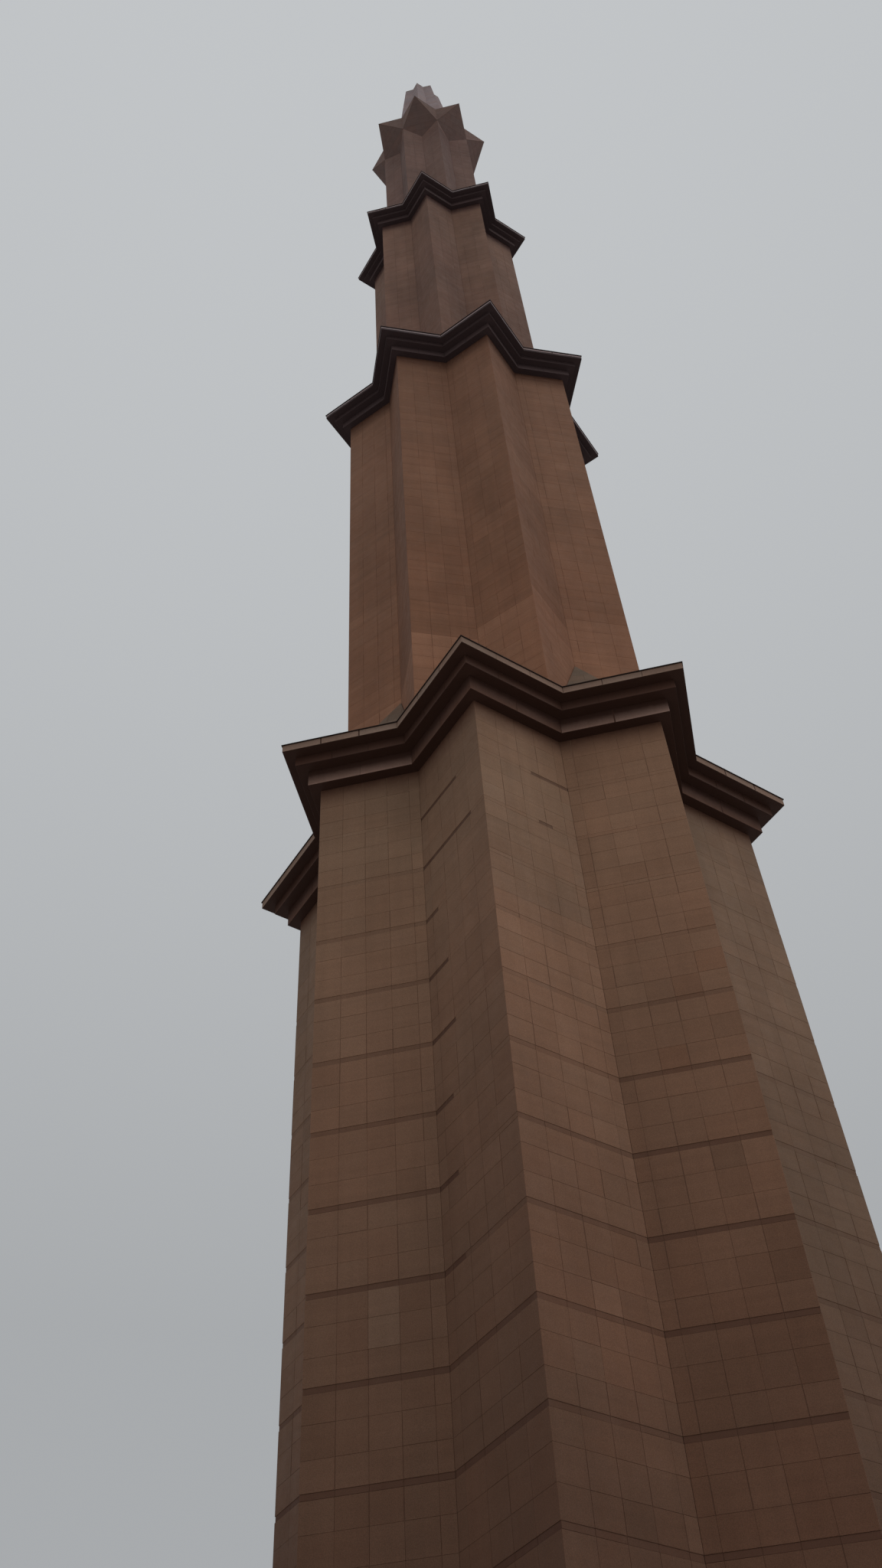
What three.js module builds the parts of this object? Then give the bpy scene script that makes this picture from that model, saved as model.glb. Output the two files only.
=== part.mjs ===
// Five-tier minaret on an eight-pointed star plan, as a 1:10 scale model of a 116 m tower.
// Millimetres, +Z up, ground level at z = 0, the tower's axis on Z, a star tip at the front (-Y).
import * as THREE from 'three';

// The star: two squares on one centre, turned by an eighth of a turn.
const POINTS = 8;
const SECTOR = (2 * Math.PI) / POINTS;
const HALF_SECTOR = SECTOR / 2;
const CORNER = Math.PI / 4;
const VALLEY_SHARE = Math.cos(CORNER) / Math.cos(HALF_SECTOR);
const GAP = 0.3;

// Each shaft's tips stand over the valleys of the shaft below, so each star is smaller by VALLEY_SHARE.
const LOWER_SHAFT_RADIUS = 627;
const SHAFT_RADII = [0, 1, 2, 3].map((tier) => LOWER_SHAFT_RADIUS * VALLEY_SHARE ** tier);
const WALL = 45;
const LEDGE_HEIGHTS = [3183, 5840, 8009];

// Cornices: three courses that step out by thirds under each ledge. The slab on top is the thinnest, and
// the lower course is the tallest.
const CORNICE_REACH = [120, 105, 92];
const CORNICE_DEPTH = [115, 93, 94];
const CORNICE_SLAB = 25;
const LOWER_SHARE = 0.62;
const COURSES = ['lower_course', 'middle_course', 'slab_ledge'];

// Hipped roofs on the ledges, one over each star point, leaning on the next shaft. Their eaves lie a
// little inside the shaft below, on a plate that covers the ledge.
const ROOF_PEAKS = [3645, 6330, 8590];
const ROOF_PLATE = 14;
const PLATE_MARGIN = 24;
const EAVES_SHARE = 0.94;

// Crown: kites open the fourth shaft out to a star as large as the third shaft's.
const CROWN_TOP = 9895;
const CROWN_SHOULDER = 9649;
const CROWN_ROOF_MARGIN = 18;
const CROWN_ROOF_PLATE = 14;
const CROWN_ROOF_RISE = 60;

// Pinnacle: a small star shaft that narrows upwards, with a folded cap.
const PINNACLE_TOP_RADIUS = 125;
const PINNACLE_WALL = 24;
const PINNACLE_TOP = 11208;
const PINNACLE_SKIRT = 8;
const CAP_EDGE = 12;
const CAP_THICKNESS = 60;
const CAP_TOP = 11600;

const SURFACES = {
  granite: new THREE.MeshStandardMaterial({ color: 0x6f5548, roughness: 0.7, metalness: 0 }),
  upperGranite: new THREE.MeshStandardMaterial({ color: 0x7a5c4e, roughness: 0.75, metalness: 0 }),
  darkCornice: new THREE.MeshStandardMaterial({ color: 0x2a1d1c, roughness: 0.6, metalness: 0 }),
  ledge: new THREE.MeshStandardMaterial({ color: 0x93786b, roughness: 0.7, metalness: 0 }),
  roof: new THREE.MeshStandardMaterial({ color: 0x75706c, roughness: 0.85, metalness: 0 }),
  pinnacle: new THREE.MeshStandardMaterial({ color: 0xa58a85, roughness: 0.7, metalness: 0 }),
};

const tower = new THREE.Group();

// A turned group holds every second storey, half a sector round from the others.
const turned = new THREE.Group();
turned.rotation.z = HALF_SECTOR;
tower.add(turned);
const frameOf = (tier) => (tier % 2 === 0 ? tower : turned);

function addPiece(parent, name, geometry, material) {
  const mesh = new THREE.Mesh(geometry, material);
  mesh.name = name;
  parent.add(mesh);
  return mesh;
}

function polar(radius, angle) {
  return new THREE.Vector2(radius * Math.cos(angle), radius * Math.sin(angle));
}

// The tip radius of the same star with its faces moved inwards by a distance.
function insetRadius(radius, distance) {
  return radius - distance / Math.cos(CORNER);
}

// A star outline as radii at the tips' angles and at the angles half a sector round.
function tipsOn(radius, z) {
  return { on: [radius, z], off: [radius * VALLEY_SHARE, z] };
}

function tipsOff(radius, z) {
  return { on: [radius * VALLEY_SHARE, z], off: [radius, z] };
}

// A closed solid folded along sixteen radial planes. Its section is a loop of stations, each a radius
// and a height on the tips' planes and on the planes between them: up the outside, down the inside.
function foldedRing(stations) {
  const places = new Map();
  const positions = [];
  const indices = [];
  const vertex = (station, step) => {
    const [radius, z] = step % 2 === 0 ? station.on : station.off;
    const point = polar(radius, step * HALF_SECTOR);
    const rounded = [point.x, point.y, z].map((value) => value.toFixed(4));
    const key = rounded.join(' ').replaceAll('-0.0000', '0.0000');
    if (!places.has(key)) {
      places.set(key, positions.length / 3);
      positions.push(point.x, point.y, z);
    }
    return places.get(key);
  };
  const triangle = (a, b, c) => {
    if (a !== b && b !== c && c !== a) indices.push(a, b, c);
  };
  for (let step = 0; step < 2 * POINTS; step += 1) {
    stations.forEach((station, index) => {
      const above = stations[(index + 1) % stations.length];
      const next = (step + 1) % (2 * POINTS);
      const [a, b] = [vertex(station, step), vertex(station, next)];
      const [c, d] = [vertex(above, next), vertex(above, step)];
      triangle(a, b, c);
      triangle(a, c, d);
    });
  }
  const geometry = new THREE.BufferGeometry();
  geometry.setAttribute('position', new THREE.Float32BufferAttribute(positions, 3));
  geometry.setIndex(indices);
  geometry.computeVertexNormals();
  return geometry;
}

// Walls over a run of neighbouring star points, cut back by half a gap at the valleys at both ends.
function pointWalls(radius, foot, top, firstPoint, count) {
  const cutBack = GAP / 2 / Math.sin(CORNER + HALF_SECTOR);
  const line = (tipRadius) => {
    const corners = [];
    const first = firstPoint * SECTOR - HALF_SECTOR;
    for (let step = 0; step <= 2 * count; step += 1) {
      const radiusHere = step % 2 === 1 ? tipRadius : tipRadius * VALLEY_SHARE;
      corners.push(polar(radiusHere, first + step * HALF_SECTOR));
    }
    const towards = (end, neighbour) => {
      const along = neighbour.clone().sub(end).setLength(cutBack);
      end.add(along);
    };
    towards(corners[0], corners[1]);
    towards(corners.at(-1), corners.at(-2));
    return corners;
  };
  const outline = [...line(radius), ...line(insetRadius(radius, WALL)).reverse()];
  const geometry = new THREE.ExtrudeGeometry(new THREE.Shape(outline), {
    depth: top - foot,
    bevelEnabled: false,
  });
  geometry.translate(0, 0, foot);
  return geometry;
}

function addShaft(name, tier, foot, top, pointsPerWall, material) {
  for (let first = 0; first < POINTS; first += pointsPerWall) {
    const geometry = pointWalls(SHAFT_RADII[tier], foot, top, first, pointsPerWall);
    const number = first / pointsPerWall + 1;
    const piece = pointsPerWall === 1 ? 'point_wall' : 'double_point_wall';
    addPiece(frameOf(tier), `${name}_${piece}_${number}`, geometry, material);
  }
}

// A cornice's courses: the slab also reaches in under the next shaft, whose tips stand on the valleys.
function addCornice(name, tier, materials) {
  const shaft = SHAFT_RADII[tier];
  const shaftInside = insetRadius(shaft, WALL);
  const nextInside = insetRadius(SHAFT_RADII[tier + 1], WALL);
  const foot = LEDGE_HEIGHTS[tier] - CORNICE_DEPTH[tier];
  const slabFoot = LEDGE_HEIGHTS[tier] - CORNICE_SLAB;
  const heights = [foot, foot + LOWER_SHARE * (slabFoot - foot), slabFoot, LEDGE_HEIGHTS[tier]];
  COURSES.forEach((course, index) => {
    const [low, high] = [heights[index], heights[index + 1]];
    const reach = shaft + (CORNICE_REACH[tier] * (index + 1)) / COURSES.length;
    const isSlab = index === COURSES.length - 1;
    const hole = (z) => (isSlab ? tipsOff(nextInside, z) : tipsOn(shaftInside, z));
    const stations = [tipsOn(reach, low), tipsOn(reach, high), hole(high), hole(low)];
    addPiece(frameOf(tier), `${name}_${course}`, foldedRing(stations), materials[index]);
  });
}

// A ledge roof: a plate round the next shaft's foot with a hipped slope over each star point.
function addLedgeRoof(name, tier) {
  const edge = SHAFT_RADII[tier] + CORNICE_REACH[tier] - PLATE_MARGIN;
  const eavesTip = SHAFT_RADII[tier] * EAVES_SHARE;
  const floor = LEDGE_HEIGHTS[tier];
  const eaves = floor + ROOF_PLATE;
  const wall = insetRadius(SHAFT_RADII[tier + 1], -GAP);
  const wallValley = wall * VALLEY_SHARE;
  const geometry = foldedRing([
    tipsOn(edge, floor),
    tipsOn(edge, eaves),
    { on: [eavesTip, eaves], off: [wall, eaves] },
    { on: [wallValley, ROOF_PEAKS[tier]], off: [wall, eaves] },
    tipsOff(wall, floor),
  ]);
  addPiece(frameOf(tier), name, geometry, SURFACES.roof);
}

// The crown: each kite hangs from a crown tip to a valley of the fourth shaft, between two shaft tips.
const CROWN_RADIUS = SHAFT_RADII[2];
const SHOULDER_RADIUS = SHAFT_RADII[3];
const SHAFT_VALLEY = SHOULDER_RADIUS * VALLEY_SHARE;
const KITE_MIDDLE = SHOULDER_RADIUS * Math.cos(HALF_SECTOR);
const KITE_SLOPE = (CROWN_TOP - CROWN_SHOULDER) / (CROWN_RADIUS - KITE_MIDDLE);
const CROWN_FOOT = Math.round(CROWN_SHOULDER - (KITE_MIDDLE - SHAFT_VALLEY) * KITE_SLOPE);

function crownGeometry() {
  const inside = insetRadius(SHOULDER_RADIUS, WALL);
  return foldedRing([
    tipsOff(SHOULDER_RADIUS, CROWN_FOOT),
    { on: [SHAFT_VALLEY, CROWN_FOOT], off: [SHOULDER_RADIUS, CROWN_SHOULDER] },
    { on: [CROWN_RADIUS, CROWN_TOP], off: [SHOULDER_RADIUS, CROWN_SHOULDER] },
    tipsOn(CROWN_RADIUS, CROWN_TOP),
    tipsOff(inside, CROWN_TOP),
    tipsOff(inside, CROWN_FOOT),
  ]);
}

// The pinnacle's foot tips stand over the fourth shaft's valleys.
const PINNACLE_FOOT = CROWN_TOP + CROWN_ROOF_PLATE + CROWN_ROOF_RISE;
const PINNACLE_FOOT_RADIUS = SHAFT_VALLEY;

function crownRoofGeometry() {
  const edge = CROWN_RADIUS - CROWN_ROOF_MARGIN;
  const eaves = CROWN_TOP + CROWN_ROOF_PLATE;
  const skirt = PINNACLE_FOOT_RADIUS + PINNACLE_SKIRT;
  const inside = insetRadius(PINNACLE_FOOT_RADIUS, PINNACLE_WALL);
  return foldedRing([
    tipsOn(edge, CROWN_TOP),
    tipsOn(edge, eaves),
    tipsOn(skirt, PINNACLE_FOOT),
    tipsOn(inside, PINNACLE_FOOT),
    tipsOn(inside, CROWN_TOP),
  ]);
}

function pinnacleGeometry() {
  return foldedRing([
    tipsOn(PINNACLE_FOOT_RADIUS, PINNACLE_FOOT),
    tipsOn(PINNACLE_TOP_RADIUS, PINNACLE_TOP),
    tipsOn(insetRadius(PINNACLE_TOP_RADIUS, PINNACLE_WALL), PINNACLE_TOP),
    tipsOn(insetRadius(PINNACLE_FOOT_RADIUS, PINNACLE_WALL), PINNACLE_FOOT),
  ]);
}

function capGeometry() {
  const inside = insetRadius(PINNACLE_TOP_RADIUS, PINNACLE_WALL);
  const axis = (z) => ({ on: [0, z], off: [0, z] });
  return foldedRing([
    tipsOn(PINNACLE_TOP_RADIUS, PINNACLE_TOP),
    tipsOn(PINNACLE_TOP_RADIUS, PINNACLE_TOP + CAP_EDGE),
    axis(CAP_TOP),
    axis(CAP_TOP - CAP_THICKNESS),
    tipsOn(inside, PINNACLE_TOP),
  ]);
}

const wallTops = LEDGE_HEIGHTS.map((height, tier) => height - CORNICE_DEPTH[tier]);
addShaft('lower_shaft', 0, 0, wallTops[0], 1, SURFACES.granite);
addShaft('second_shaft', 1, LEDGE_HEIGHTS[0], wallTops[1], 1, SURFACES.upperGranite);
addShaft('third_shaft', 2, LEDGE_HEIGHTS[1], wallTops[2], 1, SURFACES.upperGranite);
addShaft('fourth_shaft', 3, LEDGE_HEIGHTS[2], CROWN_FOOT, 2, SURFACES.upperGranite);

const { darkCornice, ledge } = SURFACES;
addCornice('first_cornice', 0, [ledge, darkCornice, ledge]);
addCornice('second_cornice', 1, [darkCornice, darkCornice, ledge]);
addCornice('third_cornice', 2, [darkCornice, darkCornice, ledge]);
addLedgeRoof('first_ledge_roof', 0);
addLedgeRoof('second_ledge_roof', 1);
addLedgeRoof('third_ledge_roof', 2);

addPiece(tower, 'star_crown', crownGeometry(), SURFACES.upperGranite);
addPiece(tower, 'crown_roof', crownRoofGeometry(), SURFACES.roof);
addPiece(tower, 'pinnacle_shaft', pinnacleGeometry(), SURFACES.pinnacle);
addPiece(tower, 'pinnacle_cap', capGeometry(), SURFACES.roof);

export default tower;
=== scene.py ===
"""Looks of the five-tier star-plan minaret: granite cladding, cornices, roofs, crown and light.

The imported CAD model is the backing. The faces that show from outside are clad with bevelled stone panels.
On the shafts they stand in courses of one height and columns of one width, narrower at the valleys.
"""
import math
import random
from collections import namedtuple

import bpy
from mathutils import Matrix, Vector


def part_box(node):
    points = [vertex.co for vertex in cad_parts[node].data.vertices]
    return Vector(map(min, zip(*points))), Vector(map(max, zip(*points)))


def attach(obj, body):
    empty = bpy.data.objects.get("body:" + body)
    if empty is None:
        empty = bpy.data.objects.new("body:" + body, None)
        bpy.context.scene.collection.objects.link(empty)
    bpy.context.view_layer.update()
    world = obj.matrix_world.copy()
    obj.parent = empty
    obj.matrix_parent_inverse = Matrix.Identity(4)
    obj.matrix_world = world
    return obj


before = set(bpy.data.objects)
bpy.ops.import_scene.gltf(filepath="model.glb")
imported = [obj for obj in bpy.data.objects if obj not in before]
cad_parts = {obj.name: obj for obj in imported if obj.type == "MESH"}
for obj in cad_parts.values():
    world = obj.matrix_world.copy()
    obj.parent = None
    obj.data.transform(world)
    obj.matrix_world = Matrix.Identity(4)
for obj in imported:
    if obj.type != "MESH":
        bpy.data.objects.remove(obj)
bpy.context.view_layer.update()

# The star plan: two squares on one centre, an eighth of a turn apart.
POINTS = 8
SECTOR = math.tau / POINTS
HALF_SECTOR = SECTOR / 2
CORNER = math.pi / 4
VALLEY_SHARE = math.cos(CORNER) / math.cos(HALF_SECTOR)
VALLEY_CUT = math.tan(HALF_SECTOR)
UP = Vector((0, 0, 1))

# Cladding, in metres of the 1:10 model. Panels stand on a sheet of mortar, so that joints are shallow.
COURSE = 0.060
BAND_EVERY = 3
BAND_HEIGHT = 0.0118
FIRST_COURSE_CUT = 0.006
LEAST_COURSE = COURSE / 3
COLUMN = 0.0577
NARROWEST = 0.012
PANEL = 0.0030
BAND_PANEL = 0.0020
THIN_PANEL = 0.0022
BEVEL = 0.0003
BEDDING = 0.0003
MORTAR_BEVEL = BEVEL / 3
MORTAR_TONE = 0.1
MORTAR_HUE = 0.5
MORTAR_DIRT = 0.3
HIGH_MORTAR_DIRT = 0.12
JOINT_DEPTH = 0.0007
COURSE_JOINT = 0.0004
COLUMN_JOINT = 0.0006
JOINT_WEAR = (0.2, 0.5, 0.8, 1.4, 2.7)
FASCIA = 0.0016
FASCIA_COLUMN = 0.116
FASCIA_JOINT = 0.0013
SOFFIT = 0.0010
ROOF_SLAB = 0.0030
PLATE_SLAB = 0.0015
ROOF_COLUMN = 0.075

# Corners this close are one corner, and a corner that turns less than this lies on a straight edge. Parts
# of panels thinner than a sliver are left out.
SAME_CORNER = 1e-5
NO_TURN = 1e-9
SLIVER = 4 * BEVEL

# Where the random draws of each masonry start.
SEEDS = {"panels": 100, "bands": 200, "fascias": 300, "soffits": 340, "ledge_roofs": 500, "crown": 600,
         "crown_roof": 610, "pinnacle_cap": 620, "pinnacle": 700}

# The photograph's camera, solved from the star corners: 27.4 m from the axis in the real world.
EYE_DISTANCE = 2.740
EYE_HEIGHT = 0.160
EYE_BEARING = math.radians(-84.582)
YAW = math.radians(-4.220)
PITCH = math.radians(50.801)
ROLL = math.radians(-4.046)
FOCAL_PIXELS = 1882.5
FRAME_HEIGHT = 2048
SENSOR = 36.0


def corners_of(node):
    return [vertex.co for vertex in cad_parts[node].data.vertices]


def reach(node, over=-math.inf):
    """The distance from the tower's axis to the farthest corner of a CAD node, of those over a height."""
    return max(math.hypot(v.x, v.y) for v in corners_of(node) if v.z > over)


def low(node):
    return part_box(node)[0][2]


def high(node):
    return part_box(node)[1][2]


def clamp(value, lowest=0.0, highest=1.0):
    return min(max(value, lowest), highest)


# Planes and outlines

class Plane:
    """A flat face seen from outside: u runs to the right, v up the face, w out of it."""

    def __init__(self, origin, u, v):
        self.origin = Vector(origin)
        self.u = Vector(u).normalized()
        self.v = Vector(v).normalized()
        self.w = self.u.cross(self.v)

    def at(self, u, v, w=0.0):
        return tuple(self.origin + self.u * u + self.v * v + self.w * w)

    def flat(self, point):
        offset = Vector(point) - self.origin
        return offset.dot(self.u), offset.dot(self.v)


def polar(radius, angle, z=0.0):
    return Vector((radius * math.cos(angle), radius * math.sin(angle), z))


def tidy(outline):
    """The outline without doubled corners and without corners on a straight edge."""
    kept = []
    for i, (x, y) in enumerate(outline):
        x0, y0 = outline[i - 1]
        x1, y1 = outline[(i + 1) % len(outline)]
        turn = (x - x0) * (y1 - y) - (y - y0) * (x1 - x)
        if math.dist((x, y), (x0, y0)) >= SAME_CORNER and abs(turn) > NO_TURN:
            kept.append((x, y))
    return kept


def inset(outline, margins):
    """A convex outline with each edge moved inwards by its own margin."""
    lines = []
    for i, (x0, y0) in enumerate(outline):
        x1, y1 = outline[(i + 1) % len(outline)]
        length = math.hypot(x1 - x0, y1 - y0)
        nx, ny = (y0 - y1) / length, (x1 - x0) / length
        lines.append((nx, ny, nx * x0 + ny * y0 + margins[i]))
    corners = []
    for i, b in enumerate(lines):
        a = lines[i - 1]
        cross = a[0] * b[1] - a[1] * b[0]
        corners.append(((a[2] * b[1] - b[2] * a[1]) / cross, (a[0] * b[2] - b[0] * a[2]) / cross))
    return corners


def half_plane(outline, axis, limit, sign):
    """The part of a convex outline where sign * coordinate is at least sign * limit."""
    kept = []
    for i, here in enumerate(outline):
        before = outline[i - 1]
        inside, was_inside = sign * (here[axis] - limit) >= 0, sign * (before[axis] - limit) >= 0
        if inside != was_inside:
            share = (limit - before[axis]) / (here[axis] - before[axis])
            kept.append(tuple(b + share * (h - b) for b, h in zip(before, here)))
        if inside:
            kept.append(here)
    return kept


def cell(outline, u0, u1, v0, v1):
    """The part of a convex outline inside a box."""
    for axis, limit, sign in ((0, u0, 1), (0, u1, -1), (1, v0, 1), (1, v1, -1)):
        outline = half_plane(outline, axis, limit, sign)
        if len(outline) < 3:
            return []
    return tidy(outline)


def thickness_of(outline):
    """Twice the area over the outline's length: about how far its edges can move in before it vanishes."""
    area, length = 0.0, 0.0
    for i, (x1, y1) in enumerate(outline):
        x0, y0 = outline[i - 1]
        area += x0 * y1 - x1 * y0
        length += math.dist((x0, y0), (x1, y1))
    return area / length


# Objects, and meshes with a painted tone

def add_object(name, data):
    thing = bpy.data.objects.new(name, data)
    bpy.context.scene.collection.objects.link(thing)
    return thing


def add_piece(name, points, faces, material, paint=()):
    """A piece fixed to the tower. Paint holds each point's tone, dirt and painted shade, and hue as a
    colour.
    """
    mesh = bpy.data.meshes.new(name)
    mesh.from_pydata(points, [], faces)
    if paint:
        layer = mesh.color_attributes.new("stone", "FLOAT_COLOR", "POINT")
        layer.data.foreach_set("color", [value for color in paint for value in color])
    mesh.materials.append(material)
    piece = add_object(name, mesh)
    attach(piece, "root")


class Masonry:
    """Stone blocks joined into one mesh. Each block has a tone, its dirt and painted shade, and a hue of its
    own.
    """

    def __init__(self, seed):
        self.random = random.Random(seed)
        self.points = []
        self.faces = []
        self.paint = []

    def _ring(self, plane, outline, w, tone, dirt_and_shade, hue):
        start = len(self.points)
        for u, v in outline:
            self.points.append(plane.at(u, v, w))
            amount = dirt_and_shade(u, v) if callable(dirt_and_shade) else dirt_and_shade
            self.paint.append((tone, amount, hue, 1.0))
        return list(range(start, start + len(outline)))

    def block(self, plane, outline, thickness, tone, dirt_and_shade, hue, back=None, bevel=BEVEL, bed=-BEDDING):
        """A closed panel on a plane, with its front edges bevelled."""
        front = inset(outline, [bevel] * len(outline))
        rings = [
            self._ring(plane, back or outline, bed, tone, dirt_and_shade, hue),
            self._ring(plane, outline, thickness - bevel, tone, dirt_and_shade, hue),
            self._ring(plane, front, thickness, tone, dirt_and_shade, hue),
        ]
        self.faces.append(rings[0][::-1])
        self.faces.append(rings[-1])
        for inner, outer in zip(rings, rings[1:]):
            for i in range(len(outline)):
                j = (i + 1) % len(outline)
                self.faces.append([inner[i], inner[j], outer[j], outer[i]])

    def to_piece(self, name, material):
        add_piece(name, self.points, self.faces, material, self.paint)


class Face:
    """One of a star's sixteen vertical faces, from its left end to its right as seen from outside."""

    def __init__(self, radius, turn, point, side, z=0.0):
        tip_angle = turn + point * SECTOR
        tip = polar(radius, tip_angle, z)
        valley = polar(radius * VALLEY_SHARE, tip_angle + side * HALF_SECTOR, z)
        self.point, self.side = point, side
        self.tip_first = side > 0
        start, end = (tip, valley) if self.tip_first else (valley, tip)
        self.length = (end - start).length
        self.plane = Plane(start, end - start, UP)
        self.bearing = round(math.degrees(tip_angle + side * CORNER)) % 360
        self.square_on = self.bearing % 90 == 0

    def from_tip(self, distance):
        """The u of a place this far from the tip, along the face."""
        return distance if self.tip_first else self.length - distance

    def to_tip(self, u):
        return u if self.tip_first else self.length - u

    def ends(self):
        return [Vector(self.plane.at(u, 0)) for u in (0, self.length)]

    def between(self, near, far):
        """The first and last u of a stretch between two distances from the tip."""
        return tuple(sorted((self.from_tip(near), self.from_tip(far))))

    def limits(self, w):
        """The first and last u at a height over the face: mitred past the tip, cut back at the valley."""
        return self.between(-w, self.length - VALLEY_CUT * w)

    def front_span(self, thickness, near=None, far=None):
        """The first and last u of a cladding's front, or of a stretch of it. None is the front's own end."""
        near = BEVEL - thickness if near is None else near
        far = self.length - VALLEY_CUT * thickness - BEVEL if far is None else far
        return self.between(near, far)

    def within(self, outline, w):
        """The outline with its corners moved inside the face's limits at a height over the face."""
        first, last = self.limits(w)
        return [(clamp(u, first, last), v) for u, v in outline]


def faces_of(radius, turn, z=0.0):
    return [Face(radius, turn, point, side, z) for point in range(POINTS) for side in (-1, 1)]


def column_joints(length):
    """Distances of the vertical joints from the tip: whole columns with a narrower one at the valley, or
    equal columns where that one would be a sliver."""
    count = int(length / COLUMN)
    if length - count * COLUMN < NARROWEST:
        return [length * i / count for i in range(1, count)]
    return [COLUMN * i for i in range(1, count + 1)]


def mortar(masonry, face, v0, v1, thickness, span=None, dirt_and_shade=MORTAR_DIRT):
    """The sheet that a stretch of panels stands on, a joint's depth under their fronts."""
    height = thickness - JOINT_DEPTH
    limits = face.limits(height)
    left, right = (clamp(u, *limits) for u in span or limits)
    front = [(left, v0), (right, v0), (right, v1), (left, v1)]
    back = face.within(front, -BEDDING)
    masonry.block(face.plane, front, height, MORTAR_TONE, dirt_and_shade, MORTAR_HUE, back, MORTAR_BEVEL)


def add_row(masonry, face, v0, v1, joints, thickness, choose, dirt_and_shade, span=None, joint=COLUMN_JOINT):
    """One course of panels along a vertical face, or along a span of it."""
    first, last = span or face.front_span(thickness)
    inner = sorted(face.from_tip(distance) for distance in joints)
    edges = [first] + [u for u in inner if first + NARROWEST / 2 < u < last - NARROWEST / 2] + [last]
    gaps = [0.0] + [joint * masonry.random.choice(JOINT_WEAR) for _ in edges[2:]] + [0.0]
    bed = thickness - JOINT_DEPTH - BEDDING
    for i, (u0, u1) in enumerate(zip(edges, edges[1:])):
        left, right = u0 + gaps[i] / 2, u1 - gaps[i + 1] / 2
        low_v = v0 + COURSE_JOINT / 2 * masonry.random.choice(JOINT_WEAR)
        high_v = v1 - COURSE_JOINT / 2
        front = [(left, low_v), (right, low_v), (right, high_v), (left, high_v)]
        column = int(max(face.to_tip((u0 + u1) / 2), 0.0) / COLUMN)
        tone, hue = choose(column, v0)
        masonry.block(face.plane, front, thickness, tone, dirt_and_shade, hue, face.within(front, bed), bed=bed)


def panel_outline(masonry, plane, outline, margins, thickness, row, column, choose, dirt_and_shade=0.0, start=0.0):
    """Panels over a flat convex face, in rows counted from a start height, with staggered columns."""
    area = tidy(inset(outline, margins))
    masonry.block(plane, area, thickness - JOINT_DEPTH, MORTAR_TONE, dirt_and_shade, MORTAR_HUE)
    us, vs = zip(*area)
    bed = thickness - JOINT_DEPTH - BEDDING
    gap = COURSE_JOINT / 2
    for r in range(math.floor((min(vs) - start) / row), math.ceil((max(vs) - start) / row)):
        v0 = start + r * row
        shift = column / 2 if r % 2 else 0.0
        u0 = math.floor((min(us) - shift) / column) * column + shift
        while u0 < max(us):
            part = cell(area, u0 + gap, u0 + column - gap, v0 + gap, v0 + row - gap)
            u0 += column
            if len(part) < 3 or thickness_of(part) < SLIVER:
                continue
            tone, hue = choose(r, u0)
            masonry.block(plane, part, thickness, tone, dirt_and_shade, hue, bed=bed)


# Materials. A noise lies mostly within NOISE_RANGE, and its scale is one number or three, for x, y and z.
# STREAKS, BEDS and CRYSTALS are how far those move the shade. SLANT is a turn in radians.

NOISE_RANGE = (0.3, 0.7)
PATCH_SCALE = (1.9, 1.9, 0.9)
PATCH_RANGE = (0.42, 0.70)
WASH_SCALE = (7.0, 7.0, 2.4)
STREAK_SCALE = (40.0, 40.0, 1.2)
STREAKS = 0.04
BED_SCALE = (3.0, 3.0, 55.0)
BEDS = 0.05
SLANT_SCALE = (3.0, 3.0, 24.0)
SLANT = (0.7, 0.45, 0.0)
CRYSTAL_SCALE = 620.0
CRYSTALS = 0.20
CLOUD_SCALE = 34.0
CLOUD_RELIEF = 2.0
UNEVEN_DARKENING = (0.85, 1.0)
UNEVEN_RANGE = (0.2, 0.6)
RELIEF = 0.25
RELIEF_DEPTH = 0.0003
# Painted shade on faces that look downwards: the normal heights over which it sets in, and how fully it
# covers the colour.
UNDERSIDE_SHADE_FACING = (-0.15, -0.75)
UNDERSIDE_SHADE_COVER = 0.97
SPECULAR = 0.12
HIGH_SPECULAR = 0.07
BOARD_SCALE = (2.0, 2.0, 60.0)
BOARD_RELIEF = 0.3
BOARD_DEPTH = 0.0006
GRIME_SCALE = 18.0
WEAR_SCALE = 40.0
COPING_SPECULAR = 0.1


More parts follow.
